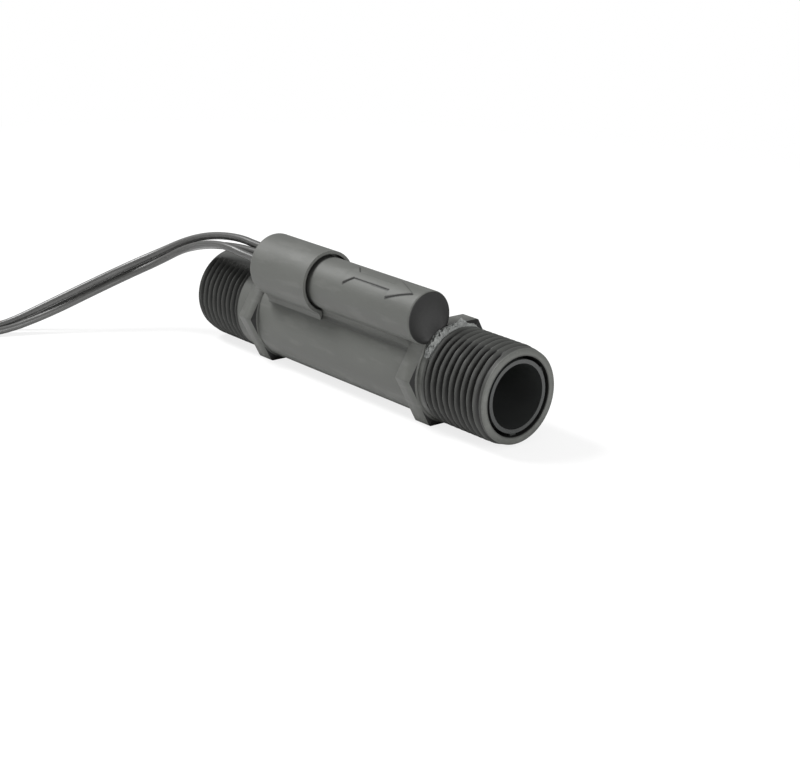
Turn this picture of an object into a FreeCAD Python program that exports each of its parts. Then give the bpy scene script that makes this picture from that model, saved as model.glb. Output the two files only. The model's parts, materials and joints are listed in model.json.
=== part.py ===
import FreeCAD, Part
import math
import os
import Sketcher

# In-line paddle flow switch, 1/2 inch male pipe thread at both ends.
# Frame: +X is the flow direction along the pipe axis, with the origin at the
# centre of the inlet end face; +Z is up, with the switch lying on two flats of
# its hexagons.  Everything around the axis is drawn with the switch pod
# straight up and then turned about the pipe axis by pod_tilt, which brings a
# flat of each hexagon down.

doc = FreeCAD.newDocument("PaddleFlowSwitch")
sheet = doc.addObject("Spreadsheet::Sheet", "Sizes")

driving_sizes = [
    # moulded housing
    ("overall_length", 99.4, "end face to end face"),
    ("thread_radius", 10.67, "crest of the half inch pipe thread"),
    ("inlet_thread_length", 16.0, "threaded stretch at the inlet"),
    ("outlet_thread_length", 17.6, "threaded stretch at the outlet"),
    ("collar_radius", 10.4, "plain collar between thread and hexagon"),
    ("body_radius", 10.6, "barrel between the hexagons"),
    ("hex_inset", 19.6, "end face to hexagon"),
    ("hex_width", 4.6, "hexagon along the pipe"),
    ("hex_flats", 21.6, "hexagon across flats"),
    ("hex_corner", 0.5, "rounding of the hexagon's corners"),
    ("passage_radius", 7.0, "flow passage"),
    ("chamber_radius", 8.65, "paddle chamber and outlet counterbore"),
    ("chamber_length", 55.4, "outlet end face back to the shoulder that the paddle carrier sits on"),
    # switch pod on the housing
    ("pod_tilt", 30.0, "pod direction from straight up, about the pipe axis"),
    ("pod_height", 15.2, "pipe axis to pod axis"),
    ("pod_radius", 5.8, "reed tube outside"),
    ("pod_bore", 4.3, "reed tube inside"),
    ("pod_start", 28.0, "open end of the reed tube"),
    ("pod_end_wall", 1.6, "closed end of the reed tube"),
    ("pod_edge", 0.5, "rounding of the reed tube's closed end"),
    ("web_fillet", 2.0, "concave blend from pod to barrel"),
    # flow arrow on the pod
    ("arrow_back", 42.2, "outlet end face back to the arrow's tail"),
    ("arrow_length", 20.4, "tail to tip"),
    ("arrow_head", 6.4, "length of the head"),
    ("arrow_half_width", 2.7, "half the width of head and tail"),
    ("arrow_shaft_half", 0.9, "half the width of the shaft"),
    ("arrow_flare", 2.3, "length of the flared tail"),
    ("arrow_relief", 0.3, "height above the pod"),
    # cover over the lead end of the pod
    ("cover_start", 26.4, "inlet end face to the cover's closed end"),
    ("cover_length", 19.8, "cover along the pipe"),
    ("cover_radius", 7.1, "cover outside"),
    ("cover_edge", 0.7, "rounding of the cover's closed end"),
    ("cover_clearance", 0.15, "gap between cover and housing"),
    ("cover_lip_depth", 2.2, "relief at the open end of the cover"),
    ("cover_lip_gap", 0.55, "gap between the lip and the reed tube"),
    ("lead_window", 3.1, "radius of the opening for the leads"),
    ("lead_window_rise", 0.7, "opening above the pod axis"),
    # outlet sleeve
    ("sleeve_back", 29.4, "outlet end face back to the sleeve's seat"),
    ("sleeve_wall", 0.85, "wall of the sleeve"),
    ("sleeve_seat", 4.0, "length of the full ring that seats in the bore"),
    ("sleeve_recess", 0.25, "sleeve set back from the outlet end face"),
    ("sleeve_ribs", 3, "ribs that centre the sleeve"),
    ("rib_width", 1.6, "width of a rib"),
    ("fit_gap", 0.03, "radial gap of a push fit"),
    # paddle carrier
    ("carrier_length", 11.5, "shoulder to the paddle's seat"),
    ("ear_inside", 2.3, "middle plane to the inner face of an ear"),
    ("ear_thickness", 2.3, "thickness of an ear"),
    ("ear_root", 2.5, "length of an ear inside the carrier"),
    ("ear_drop", 1.3, "pin axis to the lower edge of an ear"),
    ("ear_rise", 1.0, "pin axis to the upper edge of an ear"),
    ("ear_reach", 1.5, "pin axis to the free end of an ear"),
    # paddle and its hinge
    ("pin_height", 6.2, "pipe axis to pin axis"),
    ("pin_offset", 1.9, "seat to pin axis"),
    ("pin_radius", 0.6, "hinge pin"),
    ("pin_length", 9.0, "hinge pin"),
    ("pin_clearance", 0.05, "radial running clearance of the knuckles"),
    ("knuckle_radius", 1.35, "knuckles round the pin"),
    ("knuckle_outside", 2.0, "middle plane to the outer face of a knuckle"),
    ("knuckle_width", 1.05, "width of a knuckle"),
    ("paddle_radius", 7.25, "paddle disc"),
    ("paddle_thickness", 1.2, "paddle disc"),
    ("paddle_gap", 0.05, "paddle to seat at rest"),
    ("paddle_top", 4.0, "pipe axis to the straight top edge of the disc"),
    ("rib_height", 1.2, "stiffening rib on the paddle"),
    ("rib_thickness", 1.0, "stiffening rib on the paddle"),
    ("rib_foot", 5.8, "pipe axis to the foot of the stiffening rib"),
    # magnet in the paddle
    ("magnet_height", 2.1, "pipe axis to magnet axis"),
    ("magnet_radius", 1.3, "magnet"),
    ("magnet_length", 3.0, "magnet"),
    ("magnet_wall", 0.57, "wall of the magnet's boss"),
    ("magnet_floor", 0.8, "paddle left in front of the magnet"),
    ("plug_length", 0.6, "plug that closes the magnet's boss"),
    # return spring
    ("wire_radius", 0.15, "spring wire"),
    ("coil_radius", 0.95, "spring coil, middle of the wire"),
    ("coil_pitch", 0.4, "spring coil"),
    ("coil_turns", 3.375, "spring coil"),
    ("spring_gap", 0.03, "foot of the spring to the seat"),
    ("spring_leg", 1.6, "spring leg along the paddle"),
    # reed switch
    ("reed_offset", 11.0, "carrier's shoulder to the glass"),
    ("glass_length", 14.0, "glass capsule"),
    ("glass_radius", 1.15, "glass capsule"),
    ("glass_wall", 0.3, "glass capsule"),
    ("reed_drop", 1.8, "pod axis down to the glass axis"),
    ("blade_thickness", 0.2, "reed blades"),
    ("common_width", 1.3, "common blade"),
    ("contact_width", 0.55, "contact blades"),
    ("contact_spacing", 0.85, "middle to middle of the contact blades"),
    ("contact_gap", 0.12, "common blade to contact blades"),
    ("blade_overlap", 2.0, "blades side by side in the glass"),
    ("blade_tail", 3.6, "blade outside the glass"),
    ("holder_start", 36.0, "inlet end face to the reed holder"),
    ("holder_margin", 1.4, "holder past the outlet end of the blades"),
    ("holder_rise", 1.7, "glass axis to the holder's top face"),
    # circuit board, leads in the pod and potting
    ("board_start", 34.0, "inlet end face to the circuit board"),
    ("board_margin", 2.4, "board past the outlet end of the blades"),
    ("board_half_width", 3.9, "circuit board"),
    ("board_thickness", 1.0, "circuit board"),
    ("board_pin_radius", 0.3, "pins from the blades to the board"),
    ("board_pin_stand", 0.4, "pins above the board"),
    ("joint_radius", 0.75, "solder joint of a lead"),
    ("joint_height", 1.4, "solder joint above the board"),
    ("joint_offset", 7.0, "solder joints back from the glass"),
    ("potting_length", 5.0, "potting inside the reed tube"),
    ("lead_diameter", 1.8, "insulated lead"),
    ("lead_pitch", 1.9, "lead to lead on the board"),
    ("lead_strip", 3.0, "bare conductor at the board"),
    ("conductor_diameter", 0.8, "conductor of a lead"),
    # leads lying free
    ("lead_straight", 7.0, "straight run of a lead out of the pod"),
    ("overshoot", 1.0, "cutting bodies run past the face they cut"),
    ("overlap", 0.2, "joined features sink into each other"),
    ("rib_inset", 0.8, "sleeve ribs stop short of the end"),
    ("arrow_sink", 0.1, "arrow sunk into the pod"),
    ("gap_depth", 0.1, "spring gap cut below the knuckle"),
    ("bare_gap", 0.5, "insulation stops before the joint"),
    ("coil_centre_x", -45.0, "put-away coil"),
    ("coil_centre_y", -72.0, "put-away coil"),
    ("coil_inside", 8.0, "inner radius of the put-away coil"),
    ("coil_outside", 13.6, "outer radius of the put-away coil"),
    ("coil_height", 13.9, "height of the put-away coil"),
    ("tie_width", 3.0, "tie round the coil"),
    ("tie_thickness", 0.6, "tie round the coil"),
    ("strip_length", 6.0, "stripped end of a lead"),
]
for row, (alias, value, note) in enumerate(driving_sizes, start=1):
    sheet.set("A%d" % row, str(value))
    sheet.setAlias("A%d" % row, alias)
    sheet.set("B%d" % row, note)
doc.recompute()


def size(formula):
    """Number that a formula of the sheet's sizes gives."""
    result = sheet.evalExpression(formula)
    return float(result.Value) if hasattr(result, "Value") else float(result)


def bind(thing, **formulas):
    """Bind properties to formulas of the sheet's sizes; __ in a name stands for a dot."""
    for name, formula in formulas.items():
        thing.setExpression(name.replace("__", "."), formula)


S = {alias: "Sizes." + alias for alias, _, _ in driving_sizes}

# sizes that follow from the piece that carries them
for derived, formula in (
    ("chamber_start", "({overall_length} - {chamber_length})"),
    ("arrow_tail", "({overall_length} - {arrow_back})"),
    ("sleeve_start", "({overall_length} - {sleeve_back})"),
    ("reed_start", "({chamber_start} + {reed_offset})"),
    ("reed_height", "({pod_height} - {reed_drop})"),
    ("blades_end", "({reed_start} + {glass_length} + {blade_tail})"),
    ("holder_length", "({blades_end} + {holder_margin} - {holder_start})"),
    ("holder_top", "({reed_height} + {holder_rise})"),
    ("board_length", "({blades_end} + {board_margin} - {board_start})"),
    ("joint_place", "({reed_start} - {joint_offset})"),
    ("lead_height", "({holder_top} + {board_thickness} + {lead_diameter} / 2)"),
):
    S[derived] = formula.format(**S)

# places along the pipe that several pieces share
hex_out = "({overall_length} - {hex_inset})".format(**S)
seat = "({chamber_start} + {carrier_length})".format(**S)
pin_x = "(%s + {pin_offset})".format(**S) % seat
paddle_face = "(%s + {paddle_gap})".format(**S) % seat
paddle_back = "(%s + {paddle_thickness})".format(**S) % paddle_face
cover_end = "({cover_start} + {cover_length})".format(**S)
sleeve_end = "({overall_length} - {sleeve_recess})".format(**S)
glass_end = "({reed_start} + {glass_length})".format(**S)
boss_radius = "({magnet_radius} + {fit_gap} + {magnet_wall})".format(**S)
boss_length = "({magnet_length} + {plug_length} + {magnet_floor} - {paddle_thickness})".format(**S)
floor_z = "(-{hex_flats} / 2)".format(**S)
board_top = "({holder_top} + {board_thickness})".format(**S)


def turned(thing):
    """Turn a piece about the pipe axis from pod-up to its place."""
    thing.Placement = FreeCAD.Placement(FreeCAD.Vector(), FreeCAD.Rotation(FreeCAD.Vector(1, 0, 0), 30))
    bind(thing, Placement__Rotation__Angle="Sizes.pod_tilt * 1deg")
    return thing


def body(name):
    return doc.addObject("PartDesign::Body", name)


def plane(owner, role):
    return [item for item in owner.Origin.OriginFeatures if item.Role == role][0]


def sketch(owner, name, role, offset=None):
    """Sketch on an origin plane of a body, set off along the plane's normal."""
    drawing = owner.newObject("Sketcher::SketchObject", name)
    drawing.AttachmentSupport = [(plane(owner, role), "")]
    drawing.MapMode = "FlatFace"
    if offset:
        bind(drawing, AttachmentOffset__Base__z=offset)
    return drawing


def loose_sketch(name, offset):
    """Sketch across the pipe, for an extrusion outside any body: x to the side, y up."""
    drawing = doc.addObject("Sketcher::SketchObject", name)
    turn = FreeCAD.Rotation(FreeCAD.Vector(0, 1, 0), FreeCAD.Vector(0, 0, 1),
                            FreeCAD.Vector(1, 0, 0), "ZXY")
    drawing.Placement = FreeCAD.Placement(FreeCAD.Vector(size(offset), 0, 0), turn)
    bind(drawing, Placement__Base__x=offset)
    return drawing


def hold(drawing, geometry, point, across, up):
    """Fix one point of a sketch at formulas for its two coordinates."""
    for kind, formula in (("DistanceX", across), ("DistanceY", up)):
        if formula is not None:
            index = drawing.addConstraint(Sketcher.Constraint(kind, -1, 1, geometry, point, size(formula)))
            drawing.setExpression("Constraints[%d]" % index, formula)


def outline(drawing, corners):
    """Closed polygon through corners given as pairs of formulas."""
    places = [FreeCAD.Vector(size(across), size(up), 0) for across, up in corners]
    count = len(corners)
    first = drawing.GeometryCount
    for index in range(count):
        drawing.addGeometry(Part.LineSegment(places[index], places[(index + 1) % count]), False)
    for index in range(count):
        following = first + (index + 1) % count
        drawing.addConstraint(Sketcher.Constraint("Coincident", first + index, 2, following, 1))
    for index, (across, up) in enumerate(corners):
        hold(drawing, first + index, 1, across, up)


def ring(drawing, across, up, radius):
    """Full circle with formulas for its centre and radius."""
    centre = FreeCAD.Vector(size(across), size(up), 0)
    index = drawing.addGeometry(Part.Circle(centre, FreeCAD.Vector(0, 0, 1), size(radius)), False)
    hold(drawing, index, 3, across, up)
    limit = drawing.addConstraint(Sketcher.Constraint("Radius", index, size(radius)))
    drawing.setExpression("Constraints[%d]" % limit, radius)


def pad(owner, drawing, length, both=False, backwards=False):
    feature = owner.newObject("PartDesign::Pad", drawing.Name + "Pad")
    feature.Profile = drawing
    feature.Midplane = both
    feature.Reversed = backwards
    bind(feature, Length=length)
    doc.recompute()
    return feature


def pocket(owner, drawing, length, both=False, backwards=False):
    before = owner.Shape.Volume
    feature = owner.newObject("PartDesign::Pocket", drawing.Name + "Pocket")
    feature.Profile = drawing
    feature.Midplane = both
    feature.Reversed = backwards
    bind(feature, Length=length)
    doc.recompute()
    if not owner.Shape.Volume < before:
        raise RuntimeError(drawing.Name + " cuts nothing")
    return feature


def revolve(owner, drawing):
    """Turn a sketch once round the pipe axis, which is the sketch's own horizontal axis."""
    feature = owner.newObject("PartDesign::Revolution", drawing.Name + "Turned")
    feature.Profile = drawing
    feature.ReferenceAxis = (drawing, ["H_Axis"])
    feature.Angle = 360
    doc.recompute()
    return feature


def cylinder(name, start, length, radius, side="0", height="0"):
    """Part cylinder along the pipe, its axis at a side and height from the pipe axis."""
    thing = doc.addObject("Part::Cylinder", name)
    turn = FreeCAD.Rotation(FreeCAD.Vector(0, 1, 0), 90)
    thing.Placement = FreeCAD.Placement(FreeCAD.Vector(), turn)
    bind(thing, Radius=radius, Height=length, Placement__Base__x=start,
         Placement__Base__y=side, Placement__Base__z=height)
    return thing


def box(name, start, side, height, length, width, tall):
    thing = doc.addObject("Part::Box", name)
    bind(thing, Length=length, Width=width, Height=tall,
         Placement__Base__x=start, Placement__Base__y=side, Placement__Base__z=height)
    return thing


def fuse(name, *things):
    result = doc.addObject("Part::MultiFuse", name)
    result.Shapes = list(things)
    result.Refine = True
    return result


def cut(name, base, tool):
    result = doc.addObject("Part::Cut", name)
    result.Base = base
    result.Tool = tool
    result.Refine = True
    return result


def common(name, *things):
    result = doc.addObject("Part::MultiCommon", name)
    result.Shapes = list(things)
    return result


def rounded(name, base, radius, chosen):
    """Round the edges of a Part object that a test picks."""
    doc.recompute()
    result = doc.addObject("Part::Fillet", name)
    result.Base = base
    picks = [index for index, edge in enumerate(base.Shape.Edges, start=1) if chosen(edge)]
    result.Edges = [(index, radius, radius) for index in picks]
    doc.recompute()
    return result


def web(name, start, length, tube, barrel, blend):
    """Saddle between a tube at the pod's height and the barrel, with concave sides
    tangent to both."""
    named = dict(S, tube=tube, barrel=barrel, blend=blend)
    centre_up = ("((({barrel} + {blend})^2 - ({tube} + {blend})^2 + {pod_height}^2)"
                 " / (2 * {pod_height}))").format(**named)
    named["cu"] = centre_up
    centre_side = "sqrt(({barrel} + {blend})^2 - {cu}^2)".format(**named)
    named["cs"] = centre_side
    low_side = "({cs} * {barrel} / ({barrel} + {blend}))".format(**named)
    low_up = "({cu} * {barrel} / ({barrel} + {blend}))".format(**named)
    high_side = "({cs} * {tube} / ({tube} + {blend}))".format(**named)
    high_up = "({pod_height} + ({cu} - {pod_height}) * {tube} / ({tube} + {blend}))".format(**named)
    drawing = loose_sketch(name + "Outline", start)
    across = size(centre_side)
    up = size(centre_up)
    to_pod = math.atan2(size(S["pod_height"]) - up, across)
    to_axis = math.atan2(-up, across)
    forward = FreeCAD.Vector(0, 0, 1)
    right_circle = Part.Circle(FreeCAD.Vector(across, up, 0), forward, size(blend))
    left_circle = Part.Circle(FreeCAD.Vector(-across, up, 0), forward, size(blend))
    right = drawing.addGeometry(Part.ArcOfCircle(right_circle, math.pi - to_pod, math.pi - to_axis), False)
    left = drawing.addGeometry(Part.ArcOfCircle(left_circle, to_axis, to_pod), False)
    right_low = FreeCAD.Vector(size(low_side), size(low_up), 0)
    right_high = FreeCAD.Vector(size(high_side), size(high_up), 0)
    left_low = FreeCAD.Vector(-right_low.x, right_low.y, 0)
    left_high = FreeCAD.Vector(-right_high.x, right_high.y, 0)
    top = drawing.addGeometry(Part.LineSegment(right_high, left_high), False)
    bottom = drawing.addGeometry(Part.LineSegment(left_low, right_low), False)
    # each arc runs counter-clockwise: the right one downwards, the left one upwards
    for arc, sign, high_end, low_end in ((right, "", 1, 2), (left, "-", 2, 1)):
        hold(drawing, arc, 3, sign + centre_side, centre_up)
        limit = drawing.addConstraint(Sketcher.Constraint("Radius", arc, size(blend)))
        drawing.setExpression("Constraints[%d]" % limit, blend)
        drawing.addConstraint(Sketcher.Constraint("Coincident", arc, high_end, top, high_end))
        drawing.addConstraint(Sketcher.Constraint("Coincident", arc, low_end, bottom, low_end))
        hold(drawing, arc, high_end, None, high_up)
        hold(drawing, arc, low_end, None, low_up)
    result = doc.addObject("Part::Extrusion", name)
    result.Base = drawing
    result.DirMode = "Normal"
    result.Solid = True
    bind(result, LengthFwd=length)
    return result


# --- housing: barrel with threads' blanks, two hexagons, reed tube, web and arrow ---

def make_housing():
    barrel = body("barrel")
    drawing = sketch(barrel, "BarrelSection", "XY_Plane")
    out = {
        "thread_out": "({overall_length} - {outlet_thread_length})".format(**S),
        "hex_in_end": "({hex_inset} + {hex_width})".format(**S),
        "hex_out_start": "({overall_length} - {hex_inset} - {hex_width})".format(**S),
    }
    outline(drawing, [
        ("0", S["thread_radius"]),
        (S["inlet_thread_length"], S["thread_radius"]),
        (S["inlet_thread_length"], S["collar_radius"]),
        (out["hex_in_end"], S["collar_radius"]),
        (out["hex_in_end"], S["body_radius"]),
        (out["hex_out_start"], S["body_radius"]),
        (out["hex_out_start"], S["collar_radius"]),
        (out["thread_out"], S["collar_radius"]),
        (out["thread_out"], S["thread_radius"]),
        (S["overall_length"], S["thread_radius"]),
        (S["overall_length"], "0"),
        ("0", "0"),
    ])
    revolve(barrel, drawing)
    hexagons = []
    for name, start in (("inlet_hexagon", S["hex_inset"]), ("outlet_hexagon", out["hex_out_start"])):
        prism = doc.addObject("Part::Prism", name)
        prism.Polygon = 6
        prism.Placement = FreeCAD.Placement(FreeCAD.Vector(), FreeCAD.Rotation(FreeCAD.Vector(0, 1, 0), 90))
        bind(prism, Circumradius="{hex_flats} / 2 / cos(30deg)".format(**S), Height=S["hex_width"],
             Placement__Base__x=start)
        corner = size("{hex_flats} / 2".format(**S)) * 1.1
        soft = rounded(name + "_rounded", prism, size(S["hex_corner"]),
                       lambda edge: math.hypot(edge.CenterOfMass.y, edge.CenterOfMass.z) > corner)
        hexagons.append(soft)
    pod_length = "(%s - {pod_start})".format(**S) % hex_out
    tube = cylinder("reed_tube", S["pod_start"], pod_length, S["pod_radius"], height=S["pod_height"])
    tube_end = size(hex_out)
    tube = rounded("reed_tube_rounded", tube, size(S["pod_edge"]),
                   lambda edge: abs(edge.CenterOfMass.x - tube_end) < 0.01 and len(edge.Vertexes) == 1)
    web_length = "(%s - {hex_width} - {pod_start})".format(**S) % hex_out
    saddle = web("pod_web", S["pod_start"], web_length, S["pod_radius"], S["body_radius"], S["web_fillet"])
    whole = fuse("housing_outside", barrel, tube, saddle, *hexagons)
    bore = cylinder("reed_bore", S["pod_start"], "(%s - {pod_end_wall})".format(**S) % pod_length,
                    S["pod_bore"], height=S["pod_height"])
    # the bores are cut last, so that nothing on the outside reaches into them
    passage = cylinder("flow_passage", "(-{overshoot})".format(**S),
                       "({chamber_start} + 2 * {overshoot})".format(**S), S["passage_radius"])
    chamber = cylinder("paddle_chamber", S["chamber_start"],
                       "({chamber_length} + {overshoot})".format(**S), S["chamber_radius"])
    hollow = cut("housing_hollow", whole, fuse("housing_bores", bore, passage, chamber))
    return fuse("housing", hollow, make_arrow())


def make_arrow():
    """Raised arrow on the reed tube: its outline carried down to the tube's surface."""
    blank = body("arrow_blank")
    drawing = sketch(blank, "ArrowOutline", "XY_Plane", S["pod_height"])
    tip = "({arrow_tail} + {arrow_length})".format(**S)
    head = "(%s - {arrow_head})".format(**S) % tip
    neck = "({arrow_tail} + {arrow_flare})".format(**S)
    upper = [(S["arrow_tail"], S["arrow_half_width"]), (neck, S["arrow_shaft_half"]),
             (head, S["arrow_shaft_half"]), (head, S["arrow_half_width"])]
    lower = [(along, "-" + across) for along, across in reversed(upper)]
    outline(drawing, upper + [(tip, "0")] + lower)
    pad(blank, drawing, "({pod_radius} + 2 * {overshoot})".format(**S))
    skin = cylinder("arrow_skin", "({arrow_tail} - {overshoot})".format(**S),
                    "({arrow_length} + 2 * {overshoot})".format(**S),
                    "({pod_radius} + {arrow_relief})".format(**S), height=S["pod_height"])
    core = cylinder("arrow_core", "({arrow_tail} - {overshoot})".format(**S),
                    "({arrow_length} + 2 * {overshoot})".format(**S),
                    "({pod_radius} - {arrow_sink})".format(**S), height=S["pod_height"])
    return cut("flow_arrow", common("arrow_relief_block", blank, skin), core)


# --- cover over the lead end of the reed tube ---

def make_cover():
    outside = cylinder("cover_tube", S["cover_start"], S["cover_length"], S["cover_radius"],
                       height=S["pod_height"])
    saddle = web("cover_web", S["cover_start"], S["cover_length"], S["cover_radius"],
                 S["body_radius"], S["web_fillet"])
    blank = fuse("cover_blank", outside, saddle)
    closed_end = size(S["cover_start"])
    blank = rounded("cover_rounded", blank, size(S["cover_edge"]),
                    lambda edge: abs(edge.CenterOfMass.x - closed_end) < 0.01)
    gap = S["cover_clearance"]
    cavity_length = "(%s - {pod_start} + {overshoot})".format(**S) % cover_end
    room = cylinder("cover_room", S["pod_start"], cavity_length, "({pod_radius} + %s)".format(**S) % gap,
                    height=S["pod_height"])
    room_web = web("cover_room_web", S["pod_start"], cavity_length,
                   "({pod_radius} + %s)".format(**S) % gap, "({body_radius} + %s)".format(**S) % gap,
                   "({web_fillet} - %s)".format(**S) % gap)
    lip = cylinder("cover_lip", "(%s - {cover_lip_depth})".format(**S) % cover_end,
                   "({cover_lip_depth} + {overshoot})".format(**S),
                   "({pod_radius} + {cover_lip_gap})".format(**S),
                   height=S["pod_height"])
    pipe = cylinder("cover_pipe", "({cover_start} - {overshoot})".format(**S),
                    "({cover_length} + 2 * {overshoot})".format(**S),
                    "({body_radius} + %s)".format(**S) % gap)
    window = cylinder("cover_window", "({cover_start} - {overshoot})".format(**S),
                      "({pod_start} - {cover_start} + {overshoot})".format(**S),
                      S["lead_window"], height="({pod_height} + {lead_window_rise})".format(**S))
    return cut("pod_cover", blank, fuse("cover_inside", room, room_web, lip, pipe, window))


# --- outlet sleeve: seat ring, thin tube and the ribs that centre it ---

def make_sleeve():
    sleeve = body("outlet_sleeve")
    drawing = sketch(sleeve, "SleeveSection", "XY_Plane")
    tube_outside = "({passage_radius} + {sleeve_wall})".format(**S)
    seat_radius = "({chamber_radius} - {fit_gap})".format(**S)
    seat_end = "({sleeve_start} + {sleeve_seat})".format(**S)
    outline(drawing, [
        (S["sleeve_start"], S["passage_radius"]),
        (sleeve_end, S["passage_radius"]),
        (sleeve_end, tube_outside),
        (seat_end, tube_outside),
        (seat_end, seat_radius),
        (S["sleeve_start"], seat_radius),
    ])
    revolve(sleeve, drawing)
    drawing = sketch(sleeve, "SleeveRib", "YZ_Plane", seat_end)
    reach = "sqrt(%s^2 - ({rib_width} / 2)^2)".format(**S) % seat_radius
    half = "({rib_width} / 2)".format(**S)
    inner = "({passage_radius} + {sleeve_wall} / 2)".format(**S)
    outline(drawing, [(inner, "-" + half), (reach, "-" + half), (reach, half), (inner, half)])
    rib = pad(sleeve, drawing, "(%s - %s - {rib_inset})".format(**S) % (sleeve_end, seat_end))
    spread = sleeve.newObject("PartDesign::PolarPattern", "SleeveRibs")
    spread.Originals = [rib]
    spread.Axis = ([item for item in sleeve.Origin.OriginFeatures if item.Role == "X_Axis"][0], [""])
    spread.Angle = 360
    bind(spread, Occurrences=S["sleeve_ribs"])
    sleeve.Tip = spread
    return sleeve


# --- paddle carrier: ring against the shoulder, with two ears for the pin ---

def make_carrier():
    carrier = body("paddle_carrier")
    drawing = sketch(carrier, "CarrierSection", "XY_Plane")
    outside = "({chamber_radius} - {fit_gap})".format(**S)
    outline(drawing, [
        (S["chamber_start"], S["passage_radius"]),
        (seat, S["passage_radius"]),
        (seat, outside),
        (S["chamber_start"], outside),
    ])
    revolve(carrier, drawing)
    low = "({pin_height} - {ear_drop})".format(**S)
    high = "({pin_height} + {ear_rise})".format(**S)
    near = S["ear_inside"]
    far = "({ear_inside} + {ear_thickness})".format(**S)
    drawing = sketch(carrier, "Ears", "YZ_Plane", "(%s - {ear_root})".format(**S) % seat)
    outline(drawing, [(near, low), (far, low), (far, high), (near, high)])
    outline(drawing, [("-" + far, low), ("-" + near, low), ("-" + near, high), ("-" + far, high)])
    pad(carrier, drawing, "({ear_root} + {pin_offset} + {ear_reach})".format(**S))
    drawing = sketch(carrier, "PinHole", "XZ_Plane")
    ring(drawing, pin_x, S["pin_height"], S["pin_radius"])
    pocket(carrier, drawing, "(4 * {chamber_radius})".format(**S), both=True)
    return carrier


def make_pin():
    pin = body("hinge_pin")
    drawing = sketch(pin, "PinSection", "XZ_Plane")
    ring(drawing, pin_x, S["pin_height"], S["pin_radius"])
    pad(pin, drawing, S["pin_length"], both=True)
    return pin


# --- paddle: disc with a straight top, tongue, two knuckles, rib and magnet boss ---

def make_paddle():
    paddle = body("paddle")
    drawing = sketch(paddle, "Disc", "YZ_Plane", paddle_face)
    top_side = "sqrt({paddle_radius}^2 - {paddle_top}^2)".format(**S)
    start = FreeCAD.Vector(-size(top_side), size(S["paddle_top"]), 0)
    end = FreeCAD.Vector(size(top_side), size(S["paddle_top"]), 0)
    lowest = FreeCAD.Vector(0, -size(S["paddle_radius"]), 0)
    arc = drawing.addGeometry(Part.Arc(start, lowest, end), False)
    line = drawing.addGeometry(Part.LineSegment(end, start), False)
    drawing.addConstraint(Sketcher.Constraint("Coincident", arc, 2, line, 1))
    drawing.addConstraint(Sketcher.Constraint("Coincident", line, 2, arc, 1))
    hold(drawing, arc, 3, "0", "0")
    limit = drawing.addConstraint(Sketcher.Constraint("Radius", arc, size(S["paddle_radius"])))
    drawing.setExpression("Constraints[%d]" % limit, S["paddle_radius"])
    hold(drawing, line, 1, None, S["paddle_top"])
    hold(drawing, line, 2, None, S["paddle_top"])
    pad(paddle, drawing, S["paddle_thickness"])

    drawing = sketch(paddle, "Tongue", "YZ_Plane", paddle_face)
    tongue_half = S["knuckle_outside"]
    tongue_low = "({paddle_top} - {overshoot})".format(**S)
    outline(drawing, [("-" + tongue_half, tongue_low), (tongue_half, tongue_low),
                      (tongue_half, S["pin_height"]), ("-" + tongue_half, S["pin_height"])])
    pad(paddle, drawing, S["paddle_thickness"])

    drawing = sketch(paddle, "Knuckles", "XZ_Plane")
    ring(drawing, pin_x, S["pin_height"], S["knuckle_radius"])
    pad(paddle, drawing, "(2 * {knuckle_outside})".format(**S), both=True)

    drawing = sketch(paddle, "SpringGap", "XZ_Plane")
    gap_low = "({pin_height} - {knuckle_radius} - {gap_depth})".format(**S)
    gap_high = "({pin_height} + {knuckle_radius} + {overshoot})".format(**S)
    gap_end = "(%s + {knuckle_radius} + {overshoot})".format(**S) % pin_x
    gap_start = "(%s - {overshoot})".format(**S) % paddle_face
    outline(drawing, [(gap_start, gap_low), (gap_end, gap_low), (gap_end, gap_high), (gap_start, gap_high)])
    pocket(paddle, drawing, "(2 * ({knuckle_outside} - {knuckle_width}))".format(**S), both=True)

    drawing = sketch(paddle, "PinBore", "XZ_Plane")
    ring(drawing, pin_x, S["pin_height"], "({pin_radius} + {pin_clearance})".format(**S))
    pocket(paddle, drawing, "(4 * {knuckle_outside})".format(**S), both=True)

    drawing = sketch(paddle, "StiffRib", "XZ_Plane")
    rib_back = "(%s + {rib_height})".format(**S) % paddle_back
    outline(drawing, [("(%s - {overlap})".format(**S) % paddle_back, "-" + S["rib_foot"]),
                      (paddle_back, "-" + S["rib_foot"]),
                      (rib_back, "0"), (rib_back, S["magnet_height"]),
                      ("(%s - {overlap})".format(**S) % paddle_back, S["magnet_height"])])
    pad(paddle, drawing, S["rib_thickness"], both=True)

    drawing = sketch(paddle, "MagnetBoss", "YZ_Plane", "(%s - {overlap})".format(**S) % paddle_back)
    ring(drawing, "0", S["magnet_height"], boss_radius)
    pad(paddle, drawing, "(%s + {overlap})".format(**S) % boss_length)

    drawing = sketch(paddle, "MagnetPocket", "YZ_Plane", "(%s + %s)" % (paddle_back, boss_length))
    ring(drawing, "0", S["magnet_height"], "({magnet_radius} + {fit_gap})".format(**S))
    pocket(paddle, drawing, "({magnet_length} + {plug_length})".format(**S))
    return paddle


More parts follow.
